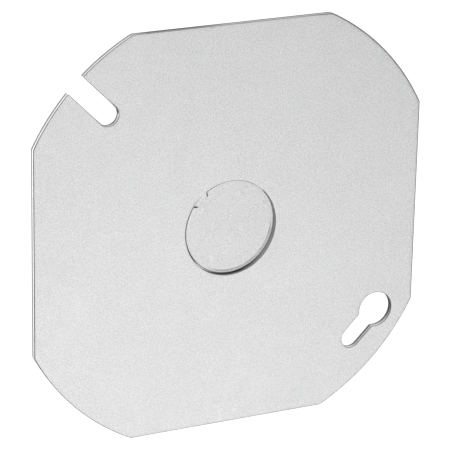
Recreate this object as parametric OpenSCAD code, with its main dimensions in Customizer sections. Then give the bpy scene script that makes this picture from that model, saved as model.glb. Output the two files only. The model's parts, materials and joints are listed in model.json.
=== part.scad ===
// Flat octagonal cover for a small electrical outlet box, stamped from one
// sheet of galvanised steel. Four straight sides are joined by four corner arcs
// centred on the plate. One corner has an open screw slot, the opposite corner
// has a keyhole for the other cover screw, and the middle has a round knockout.
//
// Frame: the plate stands upright, as it does on a wall box. X is to the right,
// Z is up, and +Y points through the plate into the box. The back face, which
// rests on the rim of the box, lies on y = 0, and the front face lies on
// y = -thickness. Lengths are in millimetres and angles in degrees. Directions
// on the plate are counted from +X towards +Z.

/* [Plate] */
// Distance between opposite straight sides.
across_flats = 94; // [92:0.5:98]
// Diameter of the circle that rounds off the four corners.
corner_diameter = 105.5; // [102:0.5:112]
// Thickness of the steel sheet.
thickness = 1.5; // [1.2:0.1:2]

/* [Screw slots] */
// Distance of each cover screw from the middle of the plate.
screw_radius = 44.45; // [43.5:0.05:45.5]
// Width of both slots, which take the shank of a cover screw.
slot_width = 4.8; // [4.2:0.1:5.2]
// Direction of the corner that has the open slot.
open_slot_angle = 135; // [130:1:140]
// Distance from the middle of the plate to the centre of the open slot's round end.
open_slot_end_radius = 41.9; // [40:0.1:44]
// Direction of the corner that has the keyhole.
keyhole_angle = -45; // [-50:1:-40]
// Diameter of the keyhole's large end, which lets the screw head through.
keyhole_head_diameter = 8.3; // [7.5:0.1:9]
// Distance between the centres of the keyhole's narrow end and large end.
keyhole_length = 8.7; // [7:0.1:9.5]

/* [Knockout] */
// Diameter of the knockout hole, for a half-inch conduit fitting.
knockout_diameter = 22.2; // [21.8:0.1:23]
// Sheared gap all round between the hole and its slug.
knockout_gap = 0.12; // [0.1:0.01:0.3]
// Angle by which the slug is already pressed into the box.
slug_tilt = 2.6; // [0:0.1:4]

/* [Tie] */
// Direction of the tie that still holds the slug to the plate.
tie_angle = 135; // [90:1:180]
// Width of the uncut tie where it leaves the edge of the hole.
tie_root_width = 4.2; // [3:0.1:5]
// Width of the uncut tie where it joins the slug.
tie_neck_width = 2.8; // [2:0.1:2.9]
// Length of the tie, from the hole's edge inwards.
tie_length = 1.1; // [0.8:0.1:2]
// Width of the cut on each side of the tie.
tie_cut_width = 0.35; // [0.2:0.05:0.6]

/* [View] */
// Name of the piece to draw, or all of them.

/* [Hidden] */
// Radius of the knockout hole, and distance from the middle to the line the tie bends on.
hole_radius = knockout_diameter / 2;
// Radius of the slug.
slug_radius = hole_radius - knockout_gap;
// Distance from the middle of the plate to the flat bottom of the slug's notch.
notch_radius = hole_radius - tie_length;
// How much wider the tie grows for each millimetre outwards.
tie_flare = (tie_root_width - tie_neck_width) / tie_length;
// How far a cutting shape runs past each face that it cuts.
overrun = 2;
// Facets of a circle where it is drawn as a mesh.
$fn = 128;

// Turns +X to the given direction on the plate.
module toward(angle) {
    rotate([0, -angle, 0])
        children();
}

// Round bar of the given radius, straight through the sheet, past both faces by extra.
module bar(radius, extra) {
    translate([0, extra, 0])
        rotate([90, 0, 0])
            cylinder(h = thickness + 2 * extra, r = radius);
}

// Block through the sheet, from one distance along +X to another, past both faces by extra.
module block(from, to, width, extra) {
    translate([from, -thickness - extra, -width / 2])
        cube([to - from, thickness + 2 * extra, width]);
}

// The tie's outline through the sheet, widened by margin on each side. It runs from the
// slug's notch past the edge of the hole, and past both faces by extra.
module tie_shape(margin, extra) {
    neck = tie_neck_width / 2 + margin;
    reach = tie_length + overrun;
    root = neck + tie_flare * reach / 2;
    translate([notch_radius, extra, 0])
        rotate([90, 0, 0])
            linear_extrude(height = thickness + 2 * extra)
                polygon([[0, -neck], [reach, -root], [reach, root], [0, neck]]);
}

// Screw slot open to the edge, with a round inner end.
module open_slot_cut() {
    toward(open_slot_angle) {
        translate([open_slot_end_radius, 0, 0])
            bar(slot_width / 2, overrun);
        block(open_slot_end_radius, corner_diameter / 2 + overrun, slot_width, overrun);
    }
}

// Keyhole that runs square to the line from the middle of the plate, its narrow end
// on the screw and its large end further round.
module keyhole_cut() {
    toward(keyhole_angle)
        translate([screw_radius, 0, 0]) {
            bar(slot_width / 2, overrun);
            translate([0, 0, keyhole_length])
                bar(keyhole_head_diameter / 2, overrun);
            translate([0, 0, keyhole_length / 2])
                block(-slot_width / 2, slot_width / 2, keyhole_length, overrun);
        }
}

// Places what is drawn flat in the sheet at the slug's tilt, about the tie's bending line.
module tilted() {
    toward(tie_angle)
        translate([hole_radius, 0, 0])
            rotate([0, 0, -slug_tilt])
                translate([-hole_radius, 0, 0])
                    children();
}

module cover_plate() {
    color([0.86, 0.87, 0.87])
        difference() {
            intersection() {
                block(-across_flats / 2, across_flats / 2, across_flats, 0);
                bar(corner_diameter / 2, 0);
            }
            bar(hole_radius, overrun);
            open_slot_cut();
            keyhole_cut();
        }
}

module knockout_slug() {
    color([0.72, 0.78, 0.86])
        tilted()
            difference() {
                bar(slug_radius, 0);
                tie_shape(tie_cut_width, overrun);
            }
}

module knockout_tie() {
    color([0.88, 0.7, 0.5])
        intersection() {
            bar(hole_radius, 0);
            tilted()
                tie_shape(0, 0);
        }
}

cover_plate();
knockout_slug();
knockout_tie();
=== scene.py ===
import json

import bmesh
import bpy
import numpy as np
from mathutils import Matrix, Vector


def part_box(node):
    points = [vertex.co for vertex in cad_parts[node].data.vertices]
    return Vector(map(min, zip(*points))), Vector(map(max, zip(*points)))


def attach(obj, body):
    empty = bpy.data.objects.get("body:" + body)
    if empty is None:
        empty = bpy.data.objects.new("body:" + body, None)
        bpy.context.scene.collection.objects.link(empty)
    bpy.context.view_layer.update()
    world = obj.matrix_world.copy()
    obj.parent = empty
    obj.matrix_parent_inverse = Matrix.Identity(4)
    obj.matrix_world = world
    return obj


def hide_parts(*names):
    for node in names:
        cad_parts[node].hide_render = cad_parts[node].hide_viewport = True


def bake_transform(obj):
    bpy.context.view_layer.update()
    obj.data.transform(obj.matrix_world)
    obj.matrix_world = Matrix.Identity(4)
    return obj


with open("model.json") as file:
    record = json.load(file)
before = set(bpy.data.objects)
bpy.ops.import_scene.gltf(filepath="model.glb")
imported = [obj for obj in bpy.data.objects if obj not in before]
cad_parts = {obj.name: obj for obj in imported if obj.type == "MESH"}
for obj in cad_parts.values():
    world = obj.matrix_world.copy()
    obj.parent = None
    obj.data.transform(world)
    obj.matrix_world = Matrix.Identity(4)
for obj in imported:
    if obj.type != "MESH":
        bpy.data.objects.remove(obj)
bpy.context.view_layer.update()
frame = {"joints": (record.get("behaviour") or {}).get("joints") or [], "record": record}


# ---------------------------------------------------------------------------
# Cover plate. A flat octagon blanked from galvanised sheet, with corner arcs,
# an open screw slot, a keyhole and a round knockout hole. Every edge is cut in
# a press: rolled over at the front, sheared bright, then torn down to the back.

low, high = (np.array(corner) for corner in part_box("cover_plate"))
SHEET = high[1] - low[1]
HALF_FLAT = high[0]
mounts = frame["record"]["mounts"]
places = {mount["name"]: np.array(mount["pos_m"]) for mount in mounts}
radii = {mount["name"]: mount["dims"].get("r_mm", 0) / 1000 for mount in mounts}
CORNER_RADIUS = 0.05275
SLOT_END = 0.0419
SLOT_HALF = radii["open_slot_screw_seat"]
HOLE_RADIUS = radii["conduit_knockout"]

hinge = next(joint for joint in frame["joints"] if joint["name"] == "knockout_hinge")
TIE_TOWARD = np.exp(1j * np.arctan2(hinge["pos_m"][2], hinge["pos_m"][0]))

# A point on the sheet is a complex number, x across and z up, and its depth is
# how far it lies behind the front face. Outlines are stepped off FINE apart.
FINE = 0.00005


def arc(centre, radius, start, stop):
    """Points round a circle: centre + radius (cos a, sin a), for a from start to stop degrees."""
    return centre + radius * np.exp(1j * np.radians(np.linspace(start, stop, 181)))


def graded(at, *stops):
    """A value at each angle in degrees: straight lines between the (angle, value) stops."""
    return np.interp(at, *zip(*stops))


def closed_path(runs, rounding=0.0003):
    """A closed outline through the runs of points in turn, stepped off evenly. Each point then
    moves to the mean of the outline within `rounding` of it, which rounds the corners and leaves
    straights straight."""
    points = np.concatenate([np.atleast_1d(run) for run in runs])
    points = points[np.abs(points - np.roll(points, 1)) > 1e-9]
    points = np.append(points, points[0])
    walked = np.concatenate([[0], np.cumsum(np.abs(np.diff(points)))])
    even = np.interp(np.arange(0, walked[-1], FINE), walked, points)
    reach = int(rounding / FINE)
    return np.mean([np.roll(even, k) for k in range(-reach, reach + 1)], axis=0)


def bends_first(path, start, stop, count, spacing=0.0008):
    """Places along a path, count steps between two of its places, closer together where it
    bends: the density of points is 1 / spacing + 2.5 x curvature."""
    forward = np.roll(path, -4) - path
    turn = np.abs(np.angle(forward / np.roll(forward, 4))) / (4 * FINE)
    crowd = np.concatenate([[0], np.cumsum((1 / spacing + 2.5 * turn) * FINE)])
    at = np.arange(len(crowd)) * FINE
    ends = np.interp([start, stop], at, crowd)
    return np.interp(np.linspace(*ends, count + 1), crowd, at)


def along(path, places_on_it):
    """The point, and the unit vector square to the path on its left, at each place along a
    closed path. Its direction is taken between two steps back and two steps ahead."""
    ring = len(path) * FINE
    at = np.arange(len(path)) * FINE
    here = np.interp(places_on_it, at, path, period=ring)
    ahead = np.interp(places_on_it + 2 * FINE, at, path, period=ring)
    behind = np.interp(places_on_it - 2 * FINE, at, path, period=ring)
    return here, 1j * (ahead - behind) / np.abs(ahead - behind)


# The cut edge from front to back, as (distance into the sheet, depth): a quarter
# ellipse for the rolled corner, a straight sheared band and a torn band that leans in.
ROLL_WIDTH, ROLL_DEPTH = 0.00022, 0.00013
rolled = np.radians(np.linspace(0, 90, 7))
WALL_INSET = [0, 0, 1.5e-5, 3e-5, 4e-5, 5e-5, 9e-5]
WALL_SHARE = np.array([0.25, 0.4, 0.46, 0.65, 0.85, 0.96, 1.0])
EDGE_INSET = np.concatenate([ROLL_WIDTH * (1 - np.sin(rolled)), WALL_INSET])
EDGE_DEPTH = np.concatenate([ROLL_DEPTH * (1 - np.cos(rolled)), SHEET * WALL_SHARE])
EDGE_CUT = np.concatenate([np.linspace(0, 0.7, 7), [1, 1, 1, 1, 1, 1, 0]])
SHEARED = 0.45


def cut_edge(points, into, roll=1.0, bare_and_shade=1.0, tear=SHEARED):
    """The edge profile carried along an outline. into points from the outline into the sheet,
    roll scales the rolled corner at each point, bare_and_shade is how much of the edge has lost
    its zinc, raised further as painted shade where the wall lies in shade, and tear is the part
    of the thickness that is sheared before it tears. Returns rows of (points, depth, cut, torn,
    bare_and_shade)."""
    roll = np.broadcast_to(roll, points.shape)
    rolling = np.arange(len(EDGE_INSET)) < len(rolled)
    scale = np.where(rolling[:, None], roll, 1.0)
    place = points + EDGE_INSET[:, None] * scale * into
    depth = EDGE_DEPTH[:, None] * scale
    cut = EDGE_CUT[:, None] * np.where(rolling[:, None], np.minimum(roll, 1), 1.0)
    return place, depth, cut, depth / SHEET - tear, bare_and_shade * np.ones(place.shape)


def ruled(inner, outer, steps, depth):
    """A flat face between two outlines with matching points: straight lines from one to the
    other, with points at the fractions in steps."""
    place = inner + (outer - inner) * steps[:, None]
    unworked = np.zeros(place.shape)
    return place, np.full(place.shape, depth), unworked, unworked, unworked


def make_piece(name, surfaces, shape, material):
    """One closed mesh from grids of (points, depth, cut, torn, bare_and_shade), the last mark being
    lost zinc and painted shade together. shape turns points on the sheet and depths into x, y, z.
    Each grid cell is a face, the grids are welded where they meet, and faces point outwards."""
    corners, faces, marks, first = [], [], [], 0
    for place, depth, *worked in surfaces:
        number = first + np.arange(place.size).reshape(place.shape)
        cells = [number[:-1, :-1], number[1:, :-1], number[1:, 1:], number[:-1, 1:]]
        faces.append(np.stack(cells, -1).reshape(-1, 4))
        corners.append(shape(place, depth).reshape(-1, 3))
        marks.append(np.stack(worked, -1).reshape(-1, 3))
        first += place.size
    mesh = bpy.data.meshes.new(name)
    mesh.from_pydata(np.concatenate(corners), [], np.concatenate(faces))
    marks = np.concatenate(marks)
    for column, label in enumerate(("cut", "torn", "bare_and_shade")):
        attribute = mesh.attributes.new(label, "FLOAT", "POINT")
        attribute.data.foreach_set("value", marks[:, column].astype(np.float32))
    work = bmesh.new()
    work.from_mesh(mesh)
    bmesh.ops.remove_doubles(work, verts=work.verts, dist=1e-6)
    bmesh.ops.dissolve_degenerate(work, edges=work.edges, dist=1e-7)
    bmesh.ops.recalc_face_normals(work, faces=work.faces)
    work.to_mesh(mesh)
    work.free()
    mesh.shade_smooth()
    mesh.set_sharp_from_angle(angle=np.radians(35))
    mesh.materials.append(material)
    made = bpy.data.objects.new(name, mesh)
    bpy.context.scene.collection.objects.link(made)
    return made


class Wire:
    """A node's output that takes part in sums like a number. Each sum adds its Math node."""

    def __init__(self, tree, socket=None):
        self.tree, self.socket = tree, socket

    def add(self, kind, settings=None, inputs=None, output=0):
        """A new node: its settings are set first, then its sockets get values or wires."""
        node = self.tree.nodes.new(kind)
        for name, value in (settings or {}).items():
            setattr(node, name, value)
        for key, value in (inputs or {}).items():
            if isinstance(value, Wire):
                self.tree.links.new(value.socket, node.inputs[key])
            else:
                node.inputs[key].default_value = value
        return Wire(self.tree, node.outputs[output])

    def sum(self, operation, first, second):
        return self.add("ShaderNodeMath", {"operation": operation}, {0: first, 1: second})

    def __add__(self, other):
        return self.sum("ADD", self, other)

    def __sub__(self, other):
        return self.sum("SUBTRACT", self, other)

    def __rsub__(self, other):
        return self.sum("SUBTRACT", other, self)

    def __mul__(self, other):
        return self.sum("MULTIPLY", self, other)

    __radd__ = __add__

    def step(self, start, stop):
        """0 below start, 1 above stop, and a smooth rise between them."""
        smooth = {"interpolation_type": "SMOOTHSTEP"}
        return self.add("ShaderNodeMapRange", smooth, {0: self, 1: start, 2: stop})

    def noise(self, size, detail=2.0, rough=0.5):
        """Noise round 0.5 whose lumps are about `size` metres, read at this position."""
        sockets = {"Vector": self, "Scale": 1 / size, "Detail": detail, "Roughness": rough}
        return self.add("ShaderNodeTexNoise", inputs=sockets)

    def tint(self, first, second):
        """The mix of two colours by this amount."""
        sockets = {"Factor": self, "A": first, "B": second}
        return self.add("ShaderNodeMix", {"data_type": "RGBA"}, sockets, 2)

    def moved(self, **settings):
        """This position moved, turned or scaled, so that noise read there shifts or stretches."""
        return self.add("ShaderNodeMapping", inputs={"Vector": self, **settings})

    def mark(self, name):
        """One of the marks that make_piece puts on the mesh."""
        return self.add("ShaderNodeAttribute", {"attribute_name": name}, output="Fac")


def new_material(name):
    """An empty material, the start of its wires and its shader."""
    material = bpy.data.materials.new(name)
    material.use_nodes = True
    tree = material.node_tree
    return material, Wire(tree), tree.nodes["Principled BSDF"]


def galvanised():
    """Zinc on steel sheet: fine grey grain, soft clouds a few millimetres wide, faint scuffs and
    a few specks. On a cut edge the zinc is crazed over the rolled corner. Past it the wall is
    steel, smoothed and then torn rough, under as much smeared zinc as the bare_and_shade mark
    leaves. That steel is painted near black as shade on the walls, and the mark is raised where a wall lies
    in shade."""
    material, start, shader = new_material("galvanised_sheet")
    # Noise is faint where a coordinate is a whole number of its cells, as on the back face's
    # y = 0, so the position is moved clear of that.
    place = start.add("ShaderNodeTexCoord", output="Object")
    position = place.moved(Location=(0.0137, 0.0213, 0.0171))
    cut, past, bare_and_shade = (start.mark(name) for name in ("cut", "torn", "bare_and_shade"))

    grain = position.noise(0.00026, 2.0, 0.7)
    cloud = position.noise(0.0035, 3.0, 0.6)
    drift = position.noise(0.030, 2.0)
    scuffed = position.moved(Rotation=(0, 0.5, 0), Scale=(1, 1, 0.03))
    scuff = scuffed.noise(0.00035, 1.0).step(0.70, 0.76) * drift.step(0.5, 0.7)
    speck = position.noise(0.0009, 0.0).step(0.80, 0.84)

    light = 0.5 + (grain - 0.5) * 2.9 + (cloud - 0.5) * 0.12 + (drift - 0.5) * 0.10
    light = light + scuff * 0.10 - speck * 0.25
    zinc = light.tint((0.50, 0.505, 0.51, 1), (0.79, 0.79, 0.785, 1))

    drag = position.moved(Scale=(1, 0.07, 1)).noise(0.00016, 2.0)
    crumbs = position.noise(0.00018, 3.0, 0.7)
    torn = (past + (drag - 0.5) * 0.15).step(-0.05, 0.05)
    # The steel colours are near black: painted shade on the cut walls, darker than the steel itself.
    dragged_in_shade = drag.tint((0.01, 0.01, 0.01, 1), (0.06, 0.06, 0.058, 1))
    ripped_in_shade = crumbs.tint((0.005, 0.005, 0.005, 1), (0.04, 0.038, 0.036, 1))
    steel_in_shade = torn.tint(dragged_in_shade, ripped_in_shade)
    smeared = torn.tint((0.90, 0.90, 0.90, 1), (0.45, 0.45, 0.44, 1))
    cut_face = bare_and_shade.tint(smeared, steel_in_shade)
    crazed = cut.step(0.02, 0.25).tint(zinc, (0.28, 0.28, 0.275, 1))
    colour = cut.step(0.5, 0.9).tint(crazed, cut_face)

    rough = 0.50 + (cloud - 0.5) * 0.05 + (grain - 0.5) * 0.10 - scuff * 0.08
    rough_cut = 0.42 + torn * 0.34
    roughness = rough + cut * (rough_cut - rough)

    height = grain * (1 - cut) + cut * (drag * (1 - torn) + crumbs * torn * 2.0) + scuff * 0.3
    bump = start.add("ShaderNodeBump", inputs={"Height": height, "Distance": 0.000012, "Strength": 1.0})

    shader.inputs["Metallic"].default_value = 0.85
    start.tree.links.new(colour.socket, shader.inputs["Base Color"])
    start.tree.links.new(roughness.socket, shader.inputs["Roughness"])
    start.tree.links.new(bump.socket, shader.inputs["Normal"])
    return material


sheet_steel = galvanised()

# Outline, counter-clockwise from a point below the middle of the right-hand side.
reach = np.sqrt(CORNER_RADIUS**2 - HALF_FLAT**2)
lean = np.degrees(np.arctan2(reach, HALF_FLAT))
slot_out = np.exp(1j * np.arctan2(places["open_slot_screw_seat"][2], places["open_slot_screw_seat"][0]))
slot_at = np.degrees(np.angle(slot_out))
slot_lean = np.degrees(np.arcsin(SLOT_HALF / CORNER_RADIUS))
START, STOP, WAIST = -20, 300, 0.024
outline = closed_path([
    HALF_FLAT * (1 + 1j * np.tan(np.radians(START))),
    arc(0, CORNER_RADIUS, lean, 90 - lean),
    arc(0, CORNER_RADIUS, 90 + lean, slot_at - slot_lean),
    slot_out * arc(SLOT_END, SLOT_HALF, -90, -270),
    arc(0, CORNER_RADIUS, slot_at + slot_lean, 180 - lean),
    arc(0, CORNER_RADIUS, 180 + lean, 270 - lean),
    arc(0, CORNER_RADIUS, 270 + lean, 360 - lean),
])
around = np.degrees(np.unwrap(np.angle(outline)))
tail = np.arange(len(outline)) > 0.8 * len(outline)
split = np.interp(STOP, around[tail], np.arange(len(outline))[tail] * FINE)
whole = len(outline) * FINE

body_at = bends_first(outline, 0, split, 420)
heel_at = bends_first(outline, split, whole, 60)
body, body_in = along(outline, body_at)
heel, heel_in = along(outline, heel_at)
slot_part = np.abs(np.degrees(np.unwrap(np.angle(body))) - slot_at) < 25

# The flat of the sheet is ruled from the knockout hole to a round waist, and from
# there to the outline. At the slot the lines spread evenly along its walls.
body_turn = np.interp(body_at, body_at[~slot_part], np.unwrap(np.angle(body))[~slot_part])
body_turn[[0, -1]] = np.radians([START, STOP])
heel_turn = np.radians(np.linspace(STOP, START + 360, 61))
turn = np.concatenate([body_turn, heel_turn[1:]])
rim = HOLE_RADIUS * np.exp(1j * turn)
rim_in = np.exp(1j * turn)
waist_body = WAIST * np.exp(1j * body_turn)
waist_heel = WAIST * np.exp(1j * heel_turn)
waist = WAIST * np.exp(1j * turn)

from_tie = np.abs(np.angle(rim / TIE_TOWARD))
rim_at = np.degrees(turn) % 360
rim_roll = np.clip((np.degrees(from_tie) - 11) / 4, 0.02, 1)
rim_roll *= graded(
    rim_at, (0, 0.7), (40, 0.5), (65, 0.12), (130, 0.15), (165, 0.5), (200, 0.8), (230, 1.0), (360, 0.7)
)
# The hole's wall shows where the slug sits back. rim_tear_and_light keeps the wall at the right all sheared,
# a painted lighter side where light falls, and rim_bare_and_shade paints it near black along the bottom as
# shade in the gap, grey at the right.
rim_tear_and_light = graded(np.degrees(np.abs(np.angle(rim / np.exp(-0.2j)))), (28.65, 1), (68.75, SHEARED))
rim_bare_and_shade = graded(
    rim_at, (30, 0.1), (60, 0.0), (150, 0.0), (185, 0.3), (215, 0.8), (285, 0.8), (305, 0.4), (320, 0.1)
)

# The keyhole's lines fan out from a point in its large end to the edges of its sector.
seat = complex(*places["keyhole_screw_seat"][[0, 2]])
head = complex(*places["keyhole_head_hole"][[0, 2]])
across = (head - seat) / abs(head - seat)
HEAD_RADIUS = radii["keyhole_head_hole"]
neck = np.degrees(np.arcsin(SLOT_HALF / HEAD_RADIUS))
keyhole = closed_path([
    head + across * arc(0, HEAD_RADIUS, -180 + neck, 180 - neck),
    seat + across * arc(0, SLOT_HALF, 90, 270),
], 0.00025)
fan = seat + 0.8 * (head - seat)
hole_aim = np.unwrap(np.angle(np.append(keyhole, keyhole[0]) - fan))

radial = np.linspace(0, 1, 33)

# Zinc is dragged over the outside edge, while the press leaves barer steel in the slot. Both walls
# also carry painted shade: darkest along the top edge beside the slot, and in the slot by the way
# each wall faces. The corner is rolled most at the upper right.
SLOT_MOUTH = 0.049
body_degrees = np.degrees(body_turn)
outline_bare_and_shade = graded(
    body_degrees,
    (-20, 0.2), (20, 0.3), (63, 0.6), (92, 0.6), (100, 0.95),
    (112, 0.95), (116, 0.3), (150, 0.1), (155, 0.0), (260, 0.2),
)
slot_bare_and_shade = graded(
    np.degrees(np.angle(-body_in)), (-136, 1), (-130, 0.5), (50, 0.7), (90, 0.55), (135, 0.5), (150, 0.3)
)
outline_bare_and_shade = np.where(slot_part & (np.abs(body) < SLOT_MOUTH), slot_bare_and_shade, outline_bare_and_shade)
body_roll = graded(
    body_degrees,
    (-20, 1.4), (20, 1.5), (30, 1.9), (62, 1.9), (68, 0.8),
    (150, 0.8), (158, 1.2), (203, 1.2), (215, 0.9), (300, 1.1),
)
heel_roll = np.linspace(1.1, 1.4, len(heel))
surfaces = [
    cut_edge(body, body_in, body_roll, outline_bare_and_shade),
    cut_edge(heel, heel_in, heel_roll, 0.2),
    cut_edge(rim, rim_in, rim_roll, rim_bare_and_shade, rim_tear_and_light),
]
for side, depth in ((0, 0.0), (-1, SHEET)):
    flat_rim = rim + EDGE_INSET[side] * rim_in * (rim_roll if side == 0 else 1)
    surfaces.append(ruled(flat_rim, waist, np.linspace(0, 1, 15), depth))
    flat_body = body + EDGE_INSET[side] * body_in * (body_roll if side == 0 else 1)
    flat_heel = heel + EDGE_INSET[side] * heel_in * (heel_roll if side == 0 else 1)
    surfaces.append(ruled(waist_body, flat_body, radial, depth))
    first_ray = (waist_body[-1] + (flat_body[-1] - waist_body[-1]) * radial)[1:]
    last_ray = (waist_body[0] + (flat_body[0] - waist_body[0]) * radial[::-1])[1:]
    sector = np.concatenate([waist_heel[::-1], first_ray, flat_heel[1:], last_ray])
    if side == 0:
        aim = (np.angle(sector - fan) - hole_aim[0]) % (2 * np.pi) + hole_aim[0]
        key, key_left = along(keyhole, np.interp(aim, hole_aim, np.arange(len(hole_aim)) * FINE))
    surfaces.append(ruled(key - EDGE_INSET[side] * key_left, sector, np.linspace(0, 1, 13), depth))
# key_bare_and_shade is set by the way each wall of the keyhole faces, as painted shade: darkest on walls
# facing left, lighter on walls facing up.
key_bare_and_shade = graded(
    np.degrees(np.angle(-key_left)),
    (-120, 0.2), (-90, 0.35), (-60, 0.52), (-40, 0.62), (-15, 0.9), (10, 1), (60, 1), (100, 0.5),
)
surfaces.append(cut_edge(key, -key_left, bare_and_shade=key_bare_and_shade))


BOW, BOW_SPREAD, BOW_OUT = 0.00007, 0.0027, 0.0121


def on_sheet(place, depth):
    """x, y, z of points on the sheet. A shallow dish at the root of the tie, BOW_OUT from the
    middle, bows it in by BOW exp(-(distance / BOW_SPREAD)^2)."""
    dish = BOW * np.exp(-np.abs(place - TIE_TOWARD * BOW_OUT) ** 2 / BOW_SPREAD**2)
    return np.stack([place.real, depth - SHEET + dish, place.imag], -1)


cover = make_piece("cover_sheet", surfaces, on_sheet, sheet_steel)
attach(cover, "cover")
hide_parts("cover_plate")


# ---------------------------------------------------------------------------
# Knockout slug. The disc sheared out of the middle of the sheet and left in its
# hole, held by the tie and pressed in at its lower right. Its rim is rounded, and
# a shallow line from the press runs just inside the lower part of the rim.

GAP = 0.00012
SLUG_RADIUS = HOLE_RADIUS - GAP
TILT = -np.radians(hinge["range_deg"][0])
TIE_NECK, TIE_CUT, TIE_LENGTH, TIE_FLARE = 0.0014, 0.00035, 0.0011, 0.6364
NOTCH = HOLE_RADIUS - TIE_LENGTH


def tilted(place, depth):
    """x, y, z of points on the slug: its distance from the bending line across the sheet and its
    depth turn together by TILT about the line where the back face meets the edge of the hole."""
    local = place / TIE_TOWARD
    away, behind = local.real - HOLE_RADIUS, depth - SHEET
    turned_away = away * np.cos(TILT) + behind * np.sin(TILT)
    turned_behind = behind * np.cos(TILT) - away * np.sin(TILT)
    moved = TIE_TOWARD * (HOLE_RADIUS + turned_away + 1j * local.imag)
    return np.stack([moved.real, turned_behind, moved.imag], -1)


# The notch's flared side meets the rim at its mouth.
notch_half = TIE_NECK + TIE_CUT
outwards = np.linspace(0, 0.002, 400)
mouth = NOTCH + outwards + 1j * (notch_half + TIE_FLARE * outwards)
mouth = mouth[np.argmin(np.abs(np.abs(mouth) - SLUG_RADIUS))]
mouth_at = np.degrees(np.angle(mouth))
slug_path = closed_path([
    TIE_TOWARD * arc(0, SLUG_RADIUS, mouth_at, 360 - mouth_at),
    TIE_TOWARD * np.array([NOTCH - 1j * notch_half, NOTCH + 1j * notch_half]),
], 0.00015)
slug_at = bends_first(slug_path, 0, len(slug_path) * FINE, 420, 0.0003)
slug_edge, slug_in = along(slug_path, slug_at)
notched = np.abs(np.angle(slug_edge / TIE_TOWARD)) < np.radians(mouth_at + 1)
slug_from_tie = np.degrees(np.abs(np.angle(slug_edge / TIE_TOWARD)))
slug_around = np.degrees(np.angle(slug_edge)) % 360
slug_roll = graded(
    slug_around,
    (0, 0.9), (40, 0.6), (65, 0.15), (130, 0.2), (165, 0.7), (200, 1.2), (230, 1.4), (320, 1.3), (360, 0.9),
)
slug_roll = np.where(notched, 0.1, slug_roll)
# The slug sits closer to the hole at its right and beside the tie.
snug = graded(np.degrees(np.abs(np.angle(slug_edge * np.exp(0.1j)))), (40, 0.00005), (65, 0))
snug += graded(slug_from_tie, (50, 0.00007), (90, 0))
slug_edge = slug_edge + np.where(notched, 0, snug) * slug_edge / np.abs(slug_edge)
# slug_bare_and_shade paints the slug's wall near black round its lower part, where it sits back in the hole
# in shade, and lighter at the right and top.
slug_bare_and_shade = graded(
    slug_around, (0, 0.15), (60, 0.0), (150, 0.0), (180, 0.5), (210, 1.0), (295, 1.0), (325, 0.3), (360, 0.15)
)
HUB = 0.0085
hub = HUB * np.exp(1j * np.angle(slug_edge))

GROOVE, GROOVE_RADIUS, GROOVE_WIDTH = 0.00010, 0.01033, 0.00013
GROOVE_TOWARD, GROOVE_REACH, GROOVE_FADE = np.radians([-58, 66, 20])


def pressed(place, depth):
    """The slug's shape, with the press line sunk into its front by GROOVE exp(-((radius -
    GROOVE_RADIUS) / GROOVE_WIDTH)^2), fading out GROOVE_REACH each side of GROOVE_TOWARD."""
    angle = np.angle(place / np.exp(1j * GROOVE_TOWARD))
    fade = np.clip((GROOVE_REACH - np.abs(angle)) / GROOVE_FADE, 0, 1)
    line = np.exp(-((np.abs(place) - GROOVE_RADIUS) / GROOVE_WIDTH) ** 2) * fade * (depth < 1e-6)
    return tilted(place, depth + GROOVE * line)


slug_faces = [cut_edge(slug_edge, slug_in, slug_roll, slug_bare_and_shade)]
for side, depth, steps in ((0, 0.0, np.linspace(0, 1, 40)), (-1, SHEET, np.linspace(0, 1, 5))):
    scale = slug_roll if side == 0 else 1
    slug_faces.append(ruled(slug_edge + EDGE_INSET[side] * slug_in * scale, hub, steps, depth))
    slug_faces.append(ruled(hub, np.zeros(hub.shape), np.linspace(0, 1, 9), depth))

slug = make_piece("slug_disc", slug_faces, pressed, sheet_steel)
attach(slug, "slug")
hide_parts("knockout_slug")


# ---------------------------------------------------------------------------
# Tie. The short tongue of sheet left uncut between the cover and the slug, wider
# at the cover. It is the same metal, shaped as a fixed bend from the sheet to the slug's tilt.

# The tie's bend starts ROOT inside the edge of the hole and ends at the slug's notch.
ROOT = 0.0002
run = np.linspace(0, 1, 13)
wide = np.linspace(-1, 1, 17)
half_root = TIE_NECK + TIE_FLARE * TIE_LENGTH
root_across = wide * half_root
root = np.sqrt(HOLE_RADIUS**2 - root_across**2) + 1j * root_across
neck_end = NOTCH + 1j * wide * TIE_NECK
tongue = TIE_TOWARD * (root + (neck_end - root) * run[:, None])
through = np.linspace(0, SHEET, 7)


def bent(place, depth):
    """x, y, z of points on the tie: the sheet's shape at the hole's edge, the slug's shape at the
    notch and 3 s^2 - 2 s^3 of the way between them, s being the part of the way along."""
    inwards = HOLE_RADIUS - ROOT - (place / TIE_TOWARD).real
    share = np.clip(inwards / (TIE_LENGTH - ROOT), 0, 1)[..., None]
    share = share * share * (3 - 2 * share)
    return on_sheet(place, depth) * (1 - share) + tilted(place, depth) * share


def plain(place, depth, cut):
    """A grid of points that is bare cut steel all over where cut is 1, painted near black as shade, and zinc
    where it is 0.
    """
    place, depth = np.broadcast_arrays(place, depth)
    worked = np.full(place.shape, cut)
    return place, depth, worked, depth / SHEET - SHEARED, worked


tie_faces = [plain(tongue, 0.0, 0.0), plain(tongue, SHEET, 0.0)]
for side in (tongue[:, 0], tongue[:, -1], tongue[0], tongue[-1]):
    tie_faces.append(plain(side, through[:, None], 1.0))

tie = make_piece("tie_neck", tie_faces, bent, sheet_steel)
bend_from = TIE_TOWARD * (HOLE_RADIUS - ROOT)
bend_to = TIE_TOWARD * NOTCH
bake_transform(tie)
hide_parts("knockout_tie")


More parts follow.
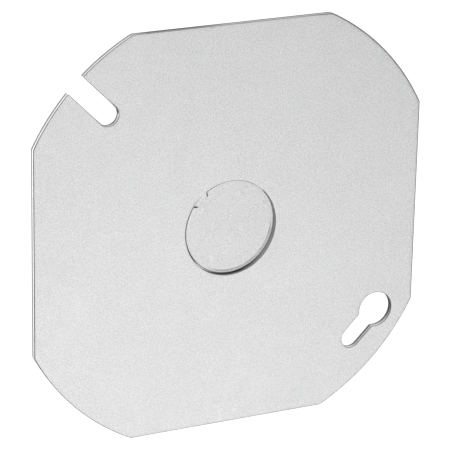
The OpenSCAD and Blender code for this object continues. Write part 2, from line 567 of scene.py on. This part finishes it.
# ---------------------------------------------------------------------------
# Stage. A white table far enough below the plate to take no shadow, soft boxes
# round it and a pale room, so that the metal has something light to reflect.

FLOOR_DROP, FLOOR_HALF = 0.10, 3
sides = ((-1, -1), (1, -1), (1, 1), (-1, 1))
corners = [(x * FLOOR_HALF, y * FLOOR_HALF, low[2] - FLOOR_DROP) for x, y in sides]
floor_mesh = bpy.data.meshes.new("floor")
floor_mesh.from_pydata(corners, [], [(0, 1, 2, 3)])
floor_material, _, floor_shader = new_material("white_table")
floor_shader.inputs["Base Color"].default_value = (0.05, 0.05, 0.05, 1)
floor_shader.inputs["Emission Color"].default_value = (1, 1, 1, 1)
floor_shader.inputs["Emission Strength"].default_value = 0.96
floor_mesh.materials.append(floor_material)
floor = bpy.data.objects.new("floor", floor_mesh)
floor.visible_glossy = floor.visible_diffuse = False
bpy.context.scene.collection.objects.link(floor)

world = bpy.data.worlds.new("pale_room")
world.use_nodes = True
bpy.context.scene.world = world
room = Wire(world.node_tree)
seen = room.add("ShaderNodeLightPath", output="Is Camera Ray")
direction = room.add("ShaderNodeTexCoord", output="Generated")
apart = direction.add("ShaderNodeSeparateXYZ", inputs={0: direction}, output="X")
upward = direction.add("ShaderNodeSeparateXYZ", inputs={0: direction}, output="Z")
dim = 0.64 - apart * apart * 0.55 + upward * 0.33
shade = seen.tint(dim, (1, 1, 1, 1))
world.node_tree.links.new(shade.socket, world.node_tree.nodes["Background"].inputs["Color"])


def soft_box(name, brightness, size, place):
    """A flat light, (width, height) in size, whose surface has the given brightness, turned to
    face the middle of the plate. Its power is brightness x pi x its area."""
    light = bpy.data.lights.new(name, "AREA")
    light.shape, light.size, light.size_y = "RECTANGLE", *size
    light.energy = brightness * np.pi * size[0] * size[1]
    box = bpy.data.objects.new(name, light)
    place = np.array(place, float)
    back = place / np.linalg.norm(place)
    side = np.cross((0, 0, 1), back)
    side /= np.linalg.norm(side)
    turn = np.stack([side, np.cross(back, side), back, place], -1)
    box.matrix_world = Matrix([*turn.tolist(), (0, 0, 0, 1)])
    bpy.context.scene.collection.objects.link(box)
    box.visible_camera = False


soft_box("front_box", 2.30, (0.65, 0.6), (0.19, -0.66, -0.34))
soft_box("top_box", 1.3, (0.6, 0.6), (0.3, -0.3, 0.8))
soft_box("back_sheet", 0.9, (2.6, 2.2), (0, 1.2, 0.1))
soft_box("left_back_box", 2.2, (0.5, 0.5), (-0.7, 0.7, -0.2))

# The camera's place counts from the front face. Its turns are in degrees.
CAMERA_PLACE = (-0.23942, -0.49199, 0.19958)
CAMERA_TURN, CAMERA_TILT, CAMERA_ROLL = -25.8091, -19.9810, 1.1462
lens = bpy.data.cameras.new("camera")
lens.lens, lens.sensor_width = 209.45, 36
camera = bpy.data.objects.new("camera", lens)
camera.matrix_world = (
    Matrix.Translation((CAMERA_PLACE[0], CAMERA_PLACE[1] - SHEET, CAMERA_PLACE[2]))
    @ Matrix.Rotation(np.radians(CAMERA_TURN), 4, "Z")
    @ Matrix.Rotation(np.radians(90 + CAMERA_TILT), 4, "X")
    @ Matrix.Rotation(np.radians(CAMERA_ROLL), 4, "Z")
)
bpy.context.scene.collection.objects.link(camera)
bpy.context.scene.camera = camera
bpy.context.scene.view_settings.view_transform = "Standard"
